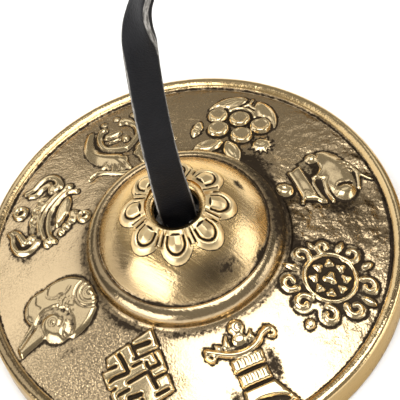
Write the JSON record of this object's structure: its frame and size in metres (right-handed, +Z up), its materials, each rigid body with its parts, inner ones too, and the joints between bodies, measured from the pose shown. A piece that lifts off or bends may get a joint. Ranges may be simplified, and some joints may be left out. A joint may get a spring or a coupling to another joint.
{
  "type": "tingsha cymbals",
  "caption": "Pair of heavy cast hand cymbals with a central bell and relief emblems, joined by one knotted flat leather strap; struck rim to rim to sound a bell tone.",
  "frame": {"origin": "on the floor, midway between the two cymbals, which lie bell up", "axes": "+X from cymbal_1 to cymbal_2, +Z up along both bell axes, +Y to the back"},
  "size_m": [0.16, 0.075, 0.0925],
  "materials": {
    "cast_brass": "antiqued cast brass, polished high spots and dark patina in the recesses",
    "strap_leather": "matt black leather with pale raw edges"
  },
  "bodies": {
    "cymbal_1": {"cymbal_1": "cast_brass"},
    "knot_1": {"knot_1": "strap_leather"},
    "strap_1": {"strap_1": "strap_leather"},
    "strap_2": {"strap_2": "strap_leather"},
    "knot_2": {"knot_2": "strap_leather"},
    "cymbal_2": {"cymbal_2": "cast_brass"}
  },
  "joints": [
    {"name": "swivel_1", "type": "hinge", "parent": "cymbal_1", "child": "knot_1", "pos_m": [-0.0425, 0, 0.02316], "axis": [0, 0, 1], "continuous": true},
    {"name": "bend_1", "type": "hinge", "parent": "knot_1", "child": "strap_1", "pos_m": [-0.0425, 0, 0.02316], "axis": [1, 0, 0], "range_deg": [-60, 60], "deforming": ["strap_1"]},
    {"name": "fold", "type": "hinge", "parent": "strap_1", "child": "strap_2", "pos_m": [0, 0.007, 0.09166], "axis": [0, -1, 0], "range_deg": [-6, 115], "deforming": ["strap_1", "strap_2"]},
    {"name": "bend_2", "type": "hinge", "parent": "strap_2", "child": "knot_2", "pos_m": [0.0425, 0, 0.02316], "axis": [0, 1, 0], "range_deg": [-60, 60], "deforming": ["strap_2"]},
    {"name": "swivel_2", "type": "hinge", "parent": "knot_2", "child": "cymbal_2", "pos_m": [0.0425, 0, 0.02316], "axis": [0, 0, 1], "continuous": true}
  ]
}
